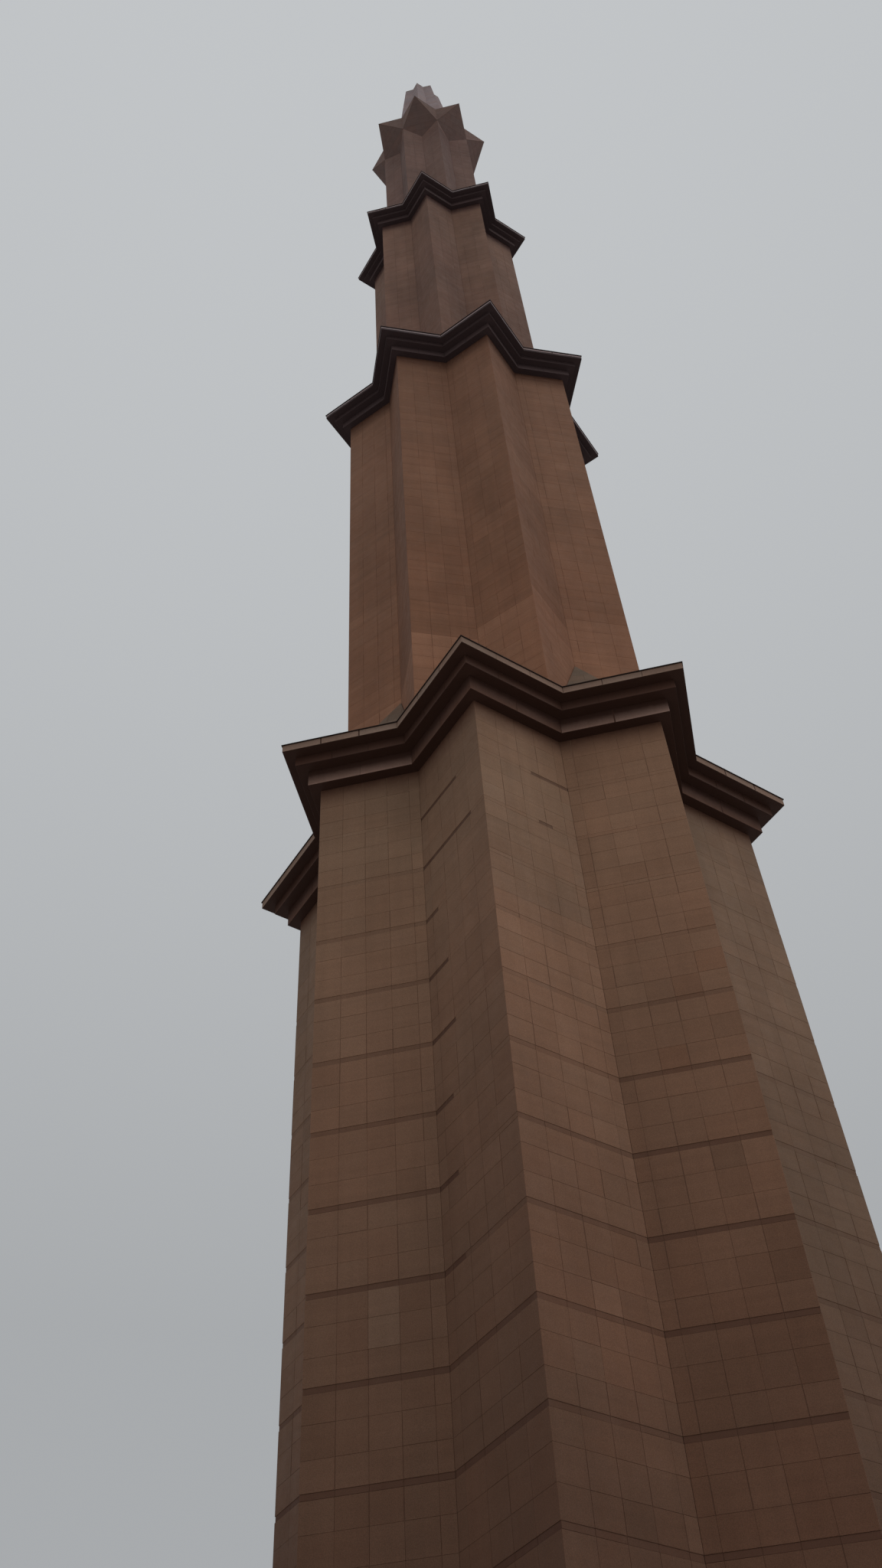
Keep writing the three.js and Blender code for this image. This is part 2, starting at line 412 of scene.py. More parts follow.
class Graph:
    """Adds nodes to a material or a world and links them."""

    def __init__(self, owner):
        owner.use_nodes = True
        self.owner, self.tree = owner, owner.node_tree

    def add(self, kind, inputs=None, **settings):
        node = self.tree.nodes.new(kind)
        for key, value in settings.items():
            setattr(node, key, value)
        for key, value in (inputs or {}).items():
            self.put(node.inputs[key], value)
        return node

    def put(self, socket, value):
        if isinstance(value, bpy.types.NodeSocket):
            self.tree.links.new(value, socket)
        else:
            socket.default_value = value

    def math(self, operation, a, b, clamp=False):
        return self.add("ShaderNodeMath", {0: a, 1: b}, operation=operation, use_clamp=clamp).outputs[0]

    def ramp(self, value, results, ends=NOISE_RANGE, course="LINEAR"):
        """Maps a value between two ends to one between two results."""
        inputs = dict(enumerate((value, *ends, *results)))
        return self.add("ShaderNodeMapRange", inputs, interpolation_type=course).outputs["Result"]

    def mix(self, share, a, b, blend="MIX"):
        node = self.add("ShaderNodeMix", {0: share, 6: a, 7: b}, data_type="RGBA", blend_type=blend)
        return node.outputs[2]

    def tint(self, color, red, green, blue):
        """The colour with each channel multiplied by a number of its own."""
        factors = self.add("ShaderNodeCombineColor", {"Red": red, "Green": green, "Blue": blue})
        return self.mix(1.0, color, factors.outputs["Color"], "MULTIPLY")

    def noise(self, vector, scale, detail=2.0, roughness=0.5):
        inputs = {"Vector": vector, "Scale": scale, "Detail": detail, "Roughness": roughness}
        return self.add("ShaderNodeTexNoise", inputs).outputs["Fac"]

    def stretched(self, vector, scales, detail=2.0, roughness=0.5, turn=(0.0, 0.0, 0.0)):
        """Noise with a scale along each axis."""
        inputs = {"Vector": vector, "Scale": scales, "Rotation": turn}
        vector = self.add("ShaderNodeMapping", inputs).outputs["Vector"]
        return self.noise(vector, 1.0, detail, roughness)

    def surface(self, color, roughness, specular=0.5):
        shader = self.tree.nodes["Principled BSDF"]
        self.put(shader.inputs["Base Color"], color)
        self.put(shader.inputs["Roughness"], roughness)
        self.put(shader.inputs["Specular IOR Level"], specular)

    def bump(self, height, strength, distance):
        node = self.add("ShaderNodeBump", {"Strength": strength, "Distance": distance, "Height": height})
        self.put(self.tree.nodes["Principled BSDF"].inputs["Normal"], node.outputs["Normal"])


def rgb(red, green, blue):
    return (red, green, blue, 1.0)


def stone_material(name, dark, light, dirt_and_shade_color, warm, roughness=0.65, patchiness=0.4, shade_underneath=False, hues=0.05,
                   slants=0.0, washing=0.08, fade=None, shade_and_dirt_curve=1.0, specular=SPECULAR):
    """Granite: a tone and hue for each panel, broad warm patches, rain streaks, crystals, and dirt mixed
    with painted shade.
    """
    g = Graph(bpy.data.materials.new(name))
    place = g.add("ShaderNodeTexCoord").outputs["Object"]
    paint = g.add("ShaderNodeAttribute", attribute_name="stone")
    channels = g.add("ShaderNodeSeparateColor", {"Color": paint.outputs["Color"]})
    tone, dirt_and_shade, hue = (channels.outputs[channel] for channel in ("Red", "Green", "Blue"))
    tints = [g.ramp(hue, (1.0 - turn, 1.0 + turn), (0.0, 1.0)) for turn in (hues / 2, -hues / 2, -hues)]
    color = g.tint(g.mix(tone, dark, light), *tints)
    patches = g.stretched(place, PATCH_SCALE, 4.0, 0.55)
    color = g.mix(g.ramp(patches, (0.0, patchiness), PATCH_RANGE), color, warm)
    crystals = g.noise(place, CRYSTAL_SCALE, 3.0, 0.65)
    changes = [
        (g.stretched(place, WASH_SCALE, 3.0), washing),
        (g.stretched(place, STREAK_SCALE, 4.0, 0.6), STREAKS),
        (g.stretched(place, BED_SCALE, 3.0, 0.6), BEDS),
        (crystals, CRYSTALS),
    ]
    if slants > 0.0:
        changes.append((g.stretched(place, SLANT_SCALE, 3.0, 0.6, SLANT), slants))
    shade = 1.0
    for noise, change in changes:
        shade = g.math("MULTIPLY", shade, g.ramp(noise, (1.0 - change, 1.0 + change)))
    color = g.tint(color, shade, shade, shade)
    # Brightness and tint by height; on the lower shaft this darkens towards the ground as painted shade.
    if fade:
        height = g.add("ShaderNodeSeparateXYZ", {"Vector": place}).outputs["Z"]
        shade = g.ramp(height, fade.shades, fade.heights, "SMOOTHSTEP")
        green = g.math("MULTIPLY", shade, g.ramp(height, fade.greens, fade.tint_heights))
        blue = g.math("MULTIPLY", shade, g.ramp(height, fade.blues, fade.tint_heights))
        color = g.tint(color, shade, green, blue)
    # The painted dirt channel holds both dirt and painted shade, which darken the colour together.
    cloud = g.noise(place, CLOUD_SCALE, 4.0, 0.6)
    uneven = g.math("MULTIPLY", dirt_and_shade, g.ramp(cloud, UNEVEN_DARKENING, UNEVEN_RANGE))
    stain_and_shade = g.math("POWER", uneven, shade_and_dirt_curve, clamp=True)
    # Painted shade: faces that look downwards are darkened.
    if shade_underneath:
        normal = g.add("ShaderNodeNewGeometry").outputs["Normal"]
        up = g.add("ShaderNodeSeparateXYZ", {"Vector": normal}).outputs["Z"]
        stain_and_shade = g.math("MAXIMUM", stain_and_shade, g.ramp(up, (0.0, UNDERSIDE_SHADE_COVER), UNDERSIDE_SHADE_FACING))
    color = g.mix(stain_and_shade, color, dirt_and_shade_color)
    g.surface(color, g.ramp(cloud, (roughness - 0.08, roughness + 0.1)), specular)
    g.bump(g.math("ADD", crystals, g.math("MULTIPLY", cloud, CLOUD_RELIEF)), RELIEF, RELIEF_DEPTH)
    return g.owner


def backing_material(name, outside, inside, board_mark, grime):
    """The CAD walls behind the cladding: dark bedding outside, board-marked concrete inside."""
    g = Graph(bpy.data.materials.new(name))
    place = g.add("ShaderNodeTexCoord").outputs["Object"]
    normal = g.add("ShaderNodeNewGeometry").outputs["Normal"]
    level = g.add("ShaderNodeVectorMath", {0: place, 1: (1.0, 1.0, 0.0)}, operation="MULTIPLY")
    facing = g.add("ShaderNodeVectorMath", {0: level.outputs[0], 1: normal}, operation="DOT_PRODUCT")
    cloud = g.noise(place, GRIME_SCALE, 5.0, 0.6)
    boards = g.stretched(place, BOARD_SCALE)
    concrete = g.mix(g.ramp(boards, (0.0, 0.5)), inside, board_mark)
    color = g.mix(g.ramp(facing.outputs["Value"], (1.0, 0.0), (-0.001, 0.001)), outside, concrete)
    color = g.mix(g.ramp(cloud, (0.0, 0.35)), color, grime)
    g.surface(color, g.ramp(cloud, (0.8, 0.95)))
    g.bump(boards, BOARD_RELIEF, BOARD_DEPTH)
    return g.owner


def coping_material(name, color, worn):
    """Near-black coping stone with a dull, weathered face."""
    g = Graph(bpy.data.materials.new(name))
    place = g.add("ShaderNodeTexCoord").outputs["Object"]
    wear = g.noise(place, WEAR_SCALE, 5.0, 0.6)
    color = g.mix(g.ramp(wear, (0.0, 0.6)), color, worn)
    g.surface(color, g.ramp(wear, (0.6, 0.85)), COPING_SPECULAR)
    return g.owner


# How a shaft's stone changes with height: a factor on its brightness between one pair of heights, and its
# green and blue against red between another pair. On the lower shaft the darkening towards the ground is
# painted shade.
Fade = namedtuple("Fade", "heights shades tint_heights greens blues")
LOWER_SHADE_FADE = Fade((0.6, 2.7), (0.48, 1.06), (1.0, 2.8), (0.92, 1.06), (0.92, 1.06))
SECOND_FADE = Fade((3.2, 5.8), (1.02, 1.00), (3.2, 5.8), (0.98, 1.12), (0.90, 1.16))
THIRD_FADE = Fade((6.3, 7.8), (0.97, 1.14), (6.3, 7.8), (1.0, 1.05), (1.0, 1.05))

# Dark colours that dirt and painted shade both mix towards.
SOOT_AND_SHADE = rgb(0.045, 0.020, 0.0135)
GRANITE_DIRT_AND_SHADE = rgb(0.086, 0.038, 0.024)
STONES = {
    "granite": dict(
        dark=rgb(0.200, 0.108, 0.065), light=rgb(0.298, 0.167, 0.104), dirt_and_shade_color=GRANITE_DIRT_AND_SHADE,
        warm=rgb(0.292, 0.132, 0.080), fade=LOWER_SHADE_FADE, hues=0.10, patchiness=0.2),
    "second_granite": dict(
        dark=rgb(0.200, 0.0915, 0.0535), light=rgb(0.350, 0.171, 0.107), dirt_and_shade_color=GRANITE_DIRT_AND_SHADE,
        warm=rgb(0.272, 0.113, 0.067), fade=SECOND_FADE, hues=0.07, slants=0.06, washing=0.11,
        specular=HIGH_SPECULAR),
    "upper_granite": dict(
        dark=rgb(0.157, 0.084, 0.056), light=rgb(0.221, 0.122, 0.087), dirt_and_shade_color=rgb(0.064, 0.032, 0.027),
        warm=rgb(0.210, 0.103, 0.077), fade=THIRD_FADE, hues=0.06, slants=0.07, washing=0.16,
        specular=HIGH_SPECULAR),
    "top_granite": dict(
        dark=rgb(0.151, 0.087, 0.067), light=rgb(0.216, 0.128, 0.102), dirt_and_shade_color=rgb(0.064, 0.035, 0.033),
        warm=rgb(0.204, 0.108, 0.089), hues=0.06, slants=0.06, washing=0.13, specular=HIGH_SPECULAR),
    "crown_granite": dict(
        dark=rgb(0.151, 0.088, 0.068), light=rgb(0.216, 0.129, 0.104), dirt_and_shade_color=rgb(0.038, 0.029, 0.031),
        warm=rgb(0.204, 0.109, 0.090), hues=0.06, specular=HIGH_SPECULAR),
    "ledge_stone": dict(
        dark=rgb(0.235, 0.146, 0.102), light=rgb(0.320, 0.208, 0.155), dirt_and_shade_color=SOOT_AND_SHADE,
        warm=rgb(0.290, 0.170, 0.120), shade_underneath=True, shade_and_dirt_curve=0.5),
    "fascia_stone": dict(
        dark=rgb(0.150, 0.062, 0.034), light=rgb(0.285, 0.176, 0.137), dirt_and_shade_color=SOOT_AND_SHADE,
        warm=rgb(0.190, 0.092, 0.058), shade_underneath=True, patchiness=0.2, shade_and_dirt_curve=0.8),
    "dark_cornice": dict(
        dark=rgb(0.040, 0.023, 0.018), light=rgb(0.120, 0.058, 0.039), dirt_and_shade_color=SOOT_AND_SHADE,
        warm=rgb(0.060, 0.031, 0.024), shade_underneath=True, roughness=0.5, shade_and_dirt_curve=0.5),
    "high_cornice": dict(
        dark=rgb(0.050, 0.033, 0.032), light=rgb(0.150, 0.093, 0.086), dirt_and_shade_color=rgb(0.046, 0.0275, 0.027),
        warm=rgb(0.080, 0.050, 0.047), shade_underneath=True, shade_and_dirt_curve=0.5),
    "roof_stone": dict(
        dark=rgb(0.142, 0.094, 0.063), light=rgb(0.226, 0.158, 0.112), dirt_and_shade_color=rgb(0.050, 0.031, 0.021),
        warm=rgb(0.150, 0.084, 0.053), roughness=0.75),
    "pinnacle_stone": dict(
        dark=rgb(0.245, 0.175, 0.172), light=rgb(0.360, 0.280, 0.277), dirt_and_shade_color=rgb(0.080, 0.050, 0.048),
        warm=rgb(0.290, 0.200, 0.187)),
}
MATERIALS = {name: stone_material(name, **stone) for name, stone in STONES.items()}
BACKING = backing_material("bedding_and_concrete", rgb(0.090, 0.050, 0.034), rgb(0.33, 0.315, 0.285),
                           rgb(0.20, 0.19, 0.17), rgb(0.03, 0.025, 0.02))
COPING = coping_material("dark_coping", rgb(0.014, 0.006, 0.004), rgb(0.026, 0.013, 0.010))


# The four shafts

class Shaft:
    """One storey of the tower between its foot and the cornice or crown over it."""

    def __init__(self, name, wall_node, tier, slot, material):
        self.name, self.slot, self.tier, self.material = name, slot, tier, MATERIALS[material]
        self.radius = reach(wall_node)
        self.foot, self.top = low(wall_node), high(wall_node)
        self.turn = HALF_SECTOR if tier % 2 else 0.0


def course_rows(foot, top, with_bands):
    """Rows from foot to top: (start, end, is_band). On the lower shaft a thin band closes each group, and
    the first course is cut a little shorter."""
    rows = []
    start, count = foot, 0
    first = foot - FIRST_COURSE_CUT if with_bands else foot
    half = BAND_HEIGHT / 2
    while start < top:
        count += 1
        end = min(first + count * COURSE, top)
        if top - end < LEAST_COURSE:
            end = top
        if with_bands and count % BAND_EVERY == 0 and end < top - COURSE / 2:
            rows += [(start, end - half, False), (end - half, end + half, True)]
            start = end + half
        else:
            rows.append((start, end, False))
            start = end
    return rows


# How the bands wear out towards the cornice, from the topmost band down. Each band is a row of parts from
# the valley on, as its share of the face and its strength. What is left at the tip is flush.
# Key: the point's number modulo 4, and the side.
WHOLE_BAND = ((1.0, 1.0),)


def faded(*strengths):
    """Whole bands of these strengths."""
    return tuple(((1.0, strength),) for strength in strengths)


SOFT_BANDS = faded(0.0, 0.12, 0.20, 0.30, 0.40, 0.50, 0.60, 0.70)
FAINT_TOP_BANDS = faded(0.0, 0.0, 0.0, 0.30, 0.50, 0.75)
SHORT_BANDS = tuple(((share, strength),) for share, strength in (
    (0.62, 1.0), (0.80, 1.0), (0.20, 0.9), (0.30, 1.0), (0.35, 1.0), (0.25, 1.0), (0.25, 1.0)))
WORN_BANDS = {
    (0, -1): SOFT_BANDS,
    (0, 1): SOFT_BANDS,
    (1, -1): FAINT_TOP_BANDS,
    (1, 1): faded(0.0, 0.2, 0.35, 0.5, 0.6, 0.7, 0.8),
    (2, -1): (*SHORT_BANDS, ((0.27, 1.0), (0.73, 0.35)), *faded(0.75, 0.85)),
    (2, 1): (((0.43, 1.5),), ((0.27, 0.0), (0.15, 1.4)), *faded(0.0, 0.25, 0.5, 0.6)),
    (3, -1): FAINT_TOP_BANDS,
    (3, 1): SOFT_BANDS,
}
# Painted shade of a band's recess, at full strength.
BAND_SHADE = 0.66
FAINT_DEPTH = 0.35

# Painted shade on the lower shaft's least lit faces, on the flanks of the others, setting in over a height
# above the foot of the top two, and under cornices and crown. Tuples have a value for each shaft. Bands are
# paler towards the lit bearing, as painted light.
SHADY_BEARING = math.radians(-135)
SHADY_FACE_SHADE = 0.26
FLANK_BEARING = math.radians(-90)
FLANK_SHADE = (0.0, 0.37, 0.44, 0.47)
FLANK_SHADE_RISE = (None, None, 0.6, 0.5)
# Painted light on the bands: the bearing they are palest towards, and how much paler.
LIT_BAND_BEARING = math.radians(-20)
LIT_BAND_SHARE = 0.45
EAVES_SHADE = 1.5
EAVES_REACH = 0.075
EAVES_SOFT_SHADE = 0.12
EAVES_SOFT_REACH = 0.25


def band_parts(face, bands_above):
    """The parts of one band on one face, as shares and strengths. Faces towards the lit bearing are paler:
    painted light.
    """
    worn = WORN_BANDS[face_key(face)]
    parts = worn[bands_above] if bands_above < len(worn) else WHOLE_BAND
    lit = max(math.cos(math.radians(face.bearing) - LIT_BAND_BEARING), 0.0)
    return [(share, strength * (1.0 - LIT_BAND_SHARE * lit ** 2)) for share, strength in parts]


def face_shade(shaft, face):
    """Painted shade up a face: the least lit faces of the lower shaft and the flanks of the upper ones are
    darker, less so near the foot of the top two, and so is the stone under each cornice and the crown."""
    bearing = math.radians(face.bearing)
    if shaft.tier == 0:
        amount = SHADY_FACE_SHADE * max(math.cos(bearing - SHADY_BEARING), 0.0) ** 4
    else:
        amount = FLANK_SHADE[shaft.tier] * math.sin(bearing - FLANK_BEARING) ** 2

    # Painted shade: darker by bearing, and towards the cornice or crown above.
    def dirt_and_shade(_, v):
        foot = FLANK_SHADE_RISE[shaft.tier]
        rise = clamp((v - shaft.foot) / foot) if foot else 1.0
        below = shaft.top - v
        near = EAVES_SHADE * clamp(1.0 - below / EAVES_REACH) if shaft.tier < 3 else 0.0
        soft = EAVES_SOFT_SHADE * clamp(1.0 - below / EAVES_SOFT_REACH)
        return clamp(amount * rise + near + soft)

    return dirt_and_shade


# How panels differ. Tuples have a value for each shaft: the mean tone, how far panels and groups of courses
# vary from it, and how often a panel stands out. REPEAT is how often one is like the panel under it. Rows
# start less than ROW_SLACK of a course below their place.
MEAN_TONES = (0.43, 0.27, 0.55, 0.56)
TONE_SPREAD = (0.065, 0.038, 0.07, 0.07)
GROUP_SPREAD = (0.04, 0.045, 0.09, 0.08)
STANDOUT = (0.04, 0.0, 0.04, 0.04)
STANDOUT_STEPS = (-0.20, 0.22)
PANEL_HUES = 0.187
GROUP_HUES = 0.153
REPEAT = 0.25
ROW_SLACK = 0.3

# The paler zone over the second shaft's foot: its height in courses, which changes round the tower, what it
# adds to the tone, and the face where it adds less.
BASE_MIDDLE = 10.5
BASE_SWING = 2.7
HIGH_BASE_ANGLE = math.radians(22.5)
BASE_LIFT = 0.50
DULL_BASE = (3, -1)
DULL_BASE_LIFT = 0.28

# What single faces and panels have of their own: hues on the lower shaft, tones on each shaft, a warm zone
# of the lower shaft, and panels of the lower shaft that stand out in the photograph, with tone and hue. A
# face's key is its point's number modulo 4 and its side. A panel's also has the column from the tip and the
# course from the ground.
FACE_HUES = {(0, -1): -0.40, (0, 1): -0.25, (3, -1): 0.25}
FACE_TONES = (
    {(0, -1): -0.30},
    {(0, 1): 0.13, (1, -1): -0.17, (1, 1): -0.09, (2, -1): -0.10, (2, 1): 0.14, (3, -1): 0.10},
    {(0, 1): 0.25, (1, 1): 0.06, (3, -1): -0.06},
    {(0, 1): 0.26, (2, 1): 0.12, (3, -1): -0.20},
)
WARM_ZONE = ((2, 1), 1.3, 2.35)
WARM_ZONE_TONE = 0.12
WARM_ZONE_HUE = 0.25
MARKED_PANELS = {
    ((1, 1), 2, 25): (1.0, 0.1),
    ((1, 1), 2, 26): (0.95, 0.15),
    ((2, 1), 1, 22): (0.65, 0.5),
    ((3, -1), 0, 37): (0.38, 1.0),
    ((3, -1), 1, 36): (0.20, 0.9),
    ((3, -1), 2, 33): (0.25, 1.0),
    ((3, -1), 0, 26): (0.30, 0.8),
    ((3, -1), 0, 25): (0.20, 0.8),
    ((3, -1), 0, 23): (0.25, 0.8),
    ((3, -1), 0, 22): (0.18, 0.8),
    ((3, -1), 1, 29): (0.10, 0.6),
}


def face_key(face):
    return face.point % 4, face.side


def base_lift(shaft, face, v):
    """The second shaft has a paler zone over its foot that reaches higher on one side, and is duller there
    on one face."""
    if shaft.tier != 1:
        return 0.0
    lift = DULL_BASE_LIFT if face_key(face) == DULL_BASE else BASE_LIFT
    angle = math.radians(face.bearing) - face.side * (CORNER - HALF_SECTOR / 2)
    courses = round(BASE_MIDDLE + BASE_SWING * math.cos(angle - HIGH_BASE_ANGLE))
    return lift if v - shaft.foot < (courses - 0.5) * COURSE else 0.0


def face_shifts(shaft, face, v):
    """What the place adds to tone and hue: faces differ, and one face of the lower shaft has a warm zone."""
    key = face_key(face)
    tone, hue = FACE_TONES[shaft.tier].get(key, 0.0), 0.0
    if shaft.tier == 0:
        zone_face, zone_foot, zone_top = WARM_ZONE
        hue = FACE_HUES.get(key, 0.0)
        if key == zone_face and zone_foot < v < zone_top:
            tone, hue = tone + WARM_ZONE_TONE, hue + WARM_ZONE_HUE
    return tone + base_lift(shaft, face, v), hue


def tone_chooser(masonry, shaft, face):
    """Chooses tone and hue of a face's panels. Some panels repeat the one under them, and each group of
    courses has a shade of its own."""
    below, groups = {}, {}
    tier = shaft.tier

    def choose(column, v):
        course = int((v - shaft.foot) / COURSE + ROW_SLACK)
        group = course // BAND_EVERY
        if group not in groups:
            groups[group] = (masonry.random.gauss(0.0, GROUP_SPREAD[tier]), masonry.random.random())
        if column not in below or masonry.random.random() > REPEAT:
            tone = masonry.random.gauss(MEAN_TONES[tier], TONE_SPREAD[tier])
            if masonry.random.random() < STANDOUT[tier]:
                tone += masonry.random.choice(STANDOUT_STEPS)
            below[column] = (tone, masonry.random.random())
        mark = MARKED_PANELS.get((face_key(face), column, course)) if tier == 0 else None
        if mark:
            return mark
        (tone, hue), (group_tone, group_hue) = below[column], groups[group]
        hue = 0.5 + PANEL_HUES * (hue - 0.5) + GROUP_HUES * (group_hue - 0.5)
        tone_shift, hue_shift = face_shifts(shaft, face, v)
        return clamp(tone + group_tone + tone_shift), clamp(hue + hue_shift)

    return choose


def clad_shaft(shaft):
    """Panels and bands on all the faces of one shaft."""
    panels = Masonry(SEEDS["panels"] + shaft.tier)
    bands = Masonry(SEEDS["bands"] + shaft.tier)
    rows = course_rows(shaft.foot, shaft.top, shaft.tier == 0)
    for face in faces_of(shaft.radius, shaft.turn):
        joints = column_joints(face.length)
        choose = tone_chooser(panels, shaft, face)
        dirt_and_shade = face_shade(shaft, face)
        joint_dirt = HIGH_MORTAR_DIRT if shaft.tier else MORTAR_DIRT
        group_start = shaft.foot
        bands_above = sum(is_band for _, _, is_band in rows)
        for v0, v1, is_band in rows:
            if not is_band:
                add_row(panels, face, v0, v1, joints, PANEL, choose, dirt_and_shade)
                continue
            mortar(panels, face, group_start, v0, PANEL)
            group_start = v1
            bands_above -= 1
            clad_band(panels, bands, face, v0, v1, joints, choose, dirt_and_shade, band_parts(face, bands_above))
        mortar(panels, face, group_start, shaft.top, PANEL, dirt_and_shade=joint_dirt)
    panels.to_piece(f"{shaft.name}_panels", shaft.material)
    if bands.faces:
        bands.to_piece(f"{shaft.name}_bands", shaft.material)


def clad_band(panels, bands, face, v0, v1, joints, choose, dirt_and_shade, parts):
    """A band from the valley to the tip: recessed, with the recess's shade painted dark, where it has
    strength, and flush elsewhere.
    """
    covered = 0.0
    for share, strength in (*parts, (1.0 - sum(share for share, _ in parts), 0.0)):
        if share <= 0.0:
            continue
        far = face.length * (1.0 - covered) if covered > 0.0 else None
        covered += share
        near = face.length * (1.0 - covered) if covered < 1.0 else None
        masonry, depth, band_shade = panels, PANEL, dirt_and_shade
        if strength > 0.0:
            masonry, band_shade = bands, BAND_SHADE * strength + dirt_and_shade(0.0, v0)
            depth = PANEL - (PANEL - BAND_PANEL) * (FAINT_DEPTH + (1.0 - FAINT_DEPTH) * strength)
        span = face.front_span(depth, near, far)
        mortar(masonry, face, v0, v1, depth, span)
        add_row(masonry, face, v0, v1, joints, depth, choose, band_shade, span)


SHAFTS = [
    Shaft("lower_shaft", "lower_shaft_point_wall_1", 0, "granite", "granite"),
    Shaft("second_shaft", "second_shaft_point_wall_1", 1, "upper_granite", "second_granite"),
    Shaft("third_shaft", "third_shaft_point_wall_1", 2, "upper_granite", "upper_granite"),
    Shaft("fourth_shaft", "fourth_shaft_double_point_wall_1", 3, "upper_granite", "top_granite"),
]
for shaft in SHAFTS:
    clad_shaft(shaft)


# The three cornices

COURSE_NODES = ("lower_course", "middle_course", "slab_ledge")
COPING_HEIGHT = 0.0020
COPING_UNDER = 0.0012
COPING_PROUD = 0.0024
COPING_WIDTH = 0.024
HIGH_COPING = 0.0055
THIN_LIP = 0.011
UNDER_LIP_TONE = 0.1
UNDER_LIP_DIRT = 0.6
LIT_FACE_TOP_SHADE = 1.5
FASCIA_SPREAD = 0.08
FASCIA_MORTAR_DIRT = 0.8
# Soffits are darkened fully: dirt and painted shade.
SOFFIT_DIRT_AND_SHADE = 1.0

# Soffit panels lie in one row, deeper than any soffit. It starts where that row gets an odd number, which
# shifts its columns by half a panel.
SOFFIT_ROW = 1.0
SOFFIT_START = -1.5


def soft_stones(masonry, middle=0.5, spread=0.12):
    """Chooses a tone round a middle one, and a hue, for each stone by itself."""
    def choose(*_):
        return clamp(masonry.random.gauss(middle, spread)), masonry.random.random()
    return choose


def shaded(z0, z1, top_shade_and_dirt, foot_shade_and_dirt):
    """Painted shade and dirt on a fascia: much under the course above, little at its own lower edge."""
    def amount(_, v):
        return foot_shade_and_dirt + (top_shade_and_dirt - foot_shade_and_dirt) * clamp((v - z0) / (z1 - z0))
    return amount


def fascia(masonry, radius, turn, z0, z1, tone, dirt_and_shade, lit=None):
    """A row of long panels round one course of a cornice. Faces square to the front can be painted paler, as
    painted light.
    """
    plain = (tone, dirt_and_shade)
    for face in faces_of(radius, turn):
        tone, dirt_and_shade = lit if lit and face.square_on else plain
        choose = soft_stones(masonry, tone, FASCIA_SPREAD)
        count = max(round(face.length / FASCIA_COLUMN), 1)
        joints = [face.length * i / count for i in range(1, count)]
        mortar(masonry, face, z0, z1, FASCIA, dirt_and_shade=FASCIA_MORTAR_DIRT)
        add_row(masonry, face, z0, z1, joints, FASCIA, choose, dirt_and_shade, joint=FASCIA_JOINT)


def soffit(masonry, outer, inner, turn, z):
    """Panels under a course, between its own star and the smaller one below it."""
    for face in faces_of(outer, turn, z):
        left, right = face.ends()
        inner_left, inner_right = Face(inner, turn, face.point, face.side, z).ends()
        plane = Plane(right, left - right, face.plane.w)
        outline = [plane.flat(p) for p in (inner_right, inner_left, left, right)]
        width = face.length / max(round(face.length / FASCIA_COLUMN), 1)
        panel_outline(masonry, plane, outline, [0.0] * 4, SOFFIT, SOFFIT_ROW, width, soft_stones(masonry),
                      SOFFIT_DIRT_AND_SHADE, SOFFIT_START)


def add_coping(name, radius, proud, top, height, turn=0.0):
    """A coping on the top edge of a star: one closed ring, folded along sixteen radial planes as the CAD
    rings are."""
    outer, inner = radius + proud / math.cos(CORNER), radius - COPING_WIDTH
    section = (
        (outer, top - COPING_UNDER),
        (outer, top + height),
        (inner, top + height),
        (inner, top - BEDDING),
        (radius - COPING_PROUD, top - COPING_UNDER),
    )
    points, faces = [], []
    count = len(section)
    for step in range(2 * POINTS):
        share = VALLEY_SHARE if step % 2 else 1.0
        points += [tuple(polar(r * share, turn + step * HALF_SECTOR, z)) for r, z in section]
        here, there = step * count, (step + 1) % (2 * POINTS) * count
        for i in range(count):
            j = (i + 1) % count
            faces.append([here + i, there + i, there + j, here + j])
    add_piece(name, points, faces, COPING)


def clad_cornice(name, tier, materials, slots, tones, top_shade_and_dirt, foot_shade_and_dirt, under, coping, lip=None,
                 lit_tone=None):
    """Clads a cornice. Tuples have a value for each course, from the lowest to the slab. With a lip, the
    slab's face is pale over that height only. With a lit tone, the lowest course has it on the faces square
    to the front as painted light, pale at its foot under painted shade."""
    turn, below = SHAFTS[tier].turn, SHAFTS[tier].radius
    soffits = Masonry(SEEDS["soffits"] + tier)
    for number, course in enumerate(COURSE_NODES):
        node = f"{name}_{course}"
        radius, z0, z1 = reach(node), low(node), high(node)
        stones = Masonry(SEEDS["fascias"] + 10 * tier + number)
        # Each fascia darkens towards the course above: painted shade and dirt.
        dirt_and_shade = shaded(z0, z1, top_shade_and_dirt[number], foot_shade_and_dirt[number])
        lit = None
        # Painted light: a pale foot on the faces square to the front, with painted shade above.
        if lit_tone and number == 0:
            lit = (lit_tone, shaded(z0, z1, LIT_FACE_TOP_SHADE, 0.0))
        lip_foot = z1 - lip if lip and number == 2 else z0
        fascia(stones, radius, turn, lip_foot, z1, tones[number], dirt_and_shade, lit)
        if lip_foot > z0:
            fascia(soffits, radius, turn, z0, lip_foot, UNDER_LIP_TONE, UNDER_LIP_DIRT)
        soffit(soffits, radius, below, turn, z0)
        stones.to_piece(f"{node}_fascia", MATERIALS[materials[number]])
        below = radius
    soffits.to_piece(f"{name}_soffits", MATERIALS[under])
    top = high(f"{name}_{COURSE_NODES[-1]}")
    add_coping(f"{name}_coping", below, FASCIA + COPING_PROUD, top, coping, turn)


